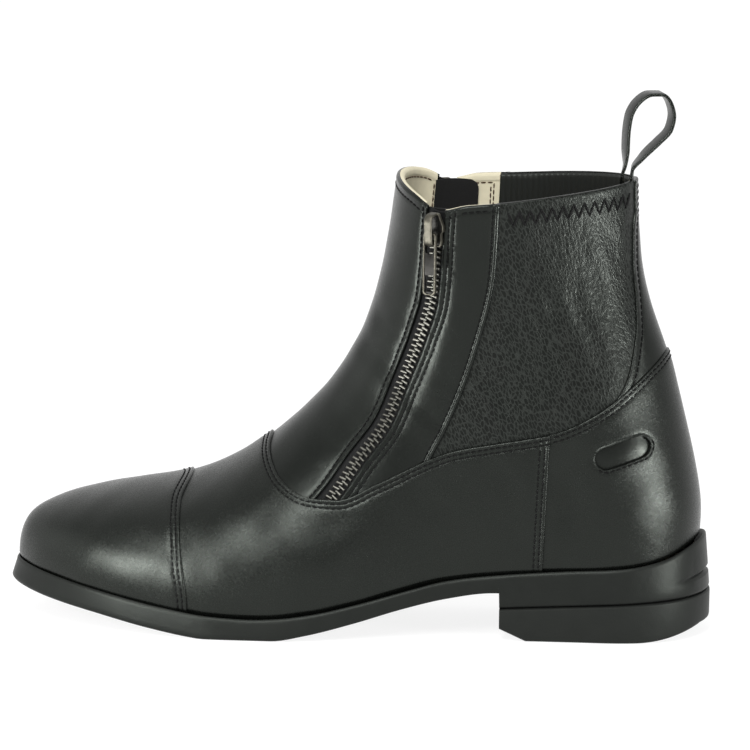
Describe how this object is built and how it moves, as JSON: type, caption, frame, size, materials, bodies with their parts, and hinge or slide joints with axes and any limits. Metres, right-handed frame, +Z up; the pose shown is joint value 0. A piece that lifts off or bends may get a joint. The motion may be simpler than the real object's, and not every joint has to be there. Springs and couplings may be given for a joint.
{
  "type": "zip boot",
  "caption": "Short black leather riding boot for the left foot, with a zip on each side, stretch panels, toe cap, low block heel and a pull loop at the back.",
  "frame": {"origin": "on the floor, under the middle of the boot's box", "axes": "+X from toe to heel, +Y from the outer to the inner side of the foot, +Z up"},
  "size_m": [0.2904, 0.0991, 0.2256],
  "materials": {
    "calf_leather": "smooth black calf with a soft sheen",
    "stretch_leather": "grained black stretch leather, matt",
    "sole_rubber": "matt black rubber",
    "lining": "beige lining leather",
    "zip_tape": "black woven tape",
    "guard_cloth": "black cloth",
    "zip_metal": "worn antique plating"
  },
  "bodies": {
    "boot": {"upper": "stretch_leather", "outsole": "sole_rubber", "heel_top_piece": "sole_rubber", "insole": "lining", "toe_cap": "calf_leather", "vamp": "calf_leather", "heel_counter": "calf_leather", "back_strip": "calf_leather", "front_panel": "calf_leather", "pull_loop": "calf_leather", "facing_lateral": "calf_leather", "facing_medial": "calf_leather", "zip_lateral": "zip_tape", "zip_medial": "zip_tape", "zip_guard_lateral": "guard_cloth", "zip_guard_medial": "guard_cloth", "zip_slider_lateral": "zip_metal", "zip_slider_medial": "zip_metal"},
    "pull_lateral": {"zip_pull_lateral": "zip_metal"},
    "pull_medial": {"zip_pull_medial": "zip_metal"}
  },
  "joints": [
    {"name": "pull_lateral_hinge", "type": "hinge", "parent": "boot", "child": "pull_lateral", "pos_m": [0.02928, -0.03825, 0.1718], "axis": [-0.9247, 0.3808, 0], "range_deg": [0, 130]},
    {"name": "pull_medial_hinge", "type": "hinge", "parent": "boot", "child": "pull_medial", "pos_m": [0.02989, 0.03977, 0.17178], "axis": [0.9601, 0.2798, 0], "range_deg": [0, 130]}
  ]
}
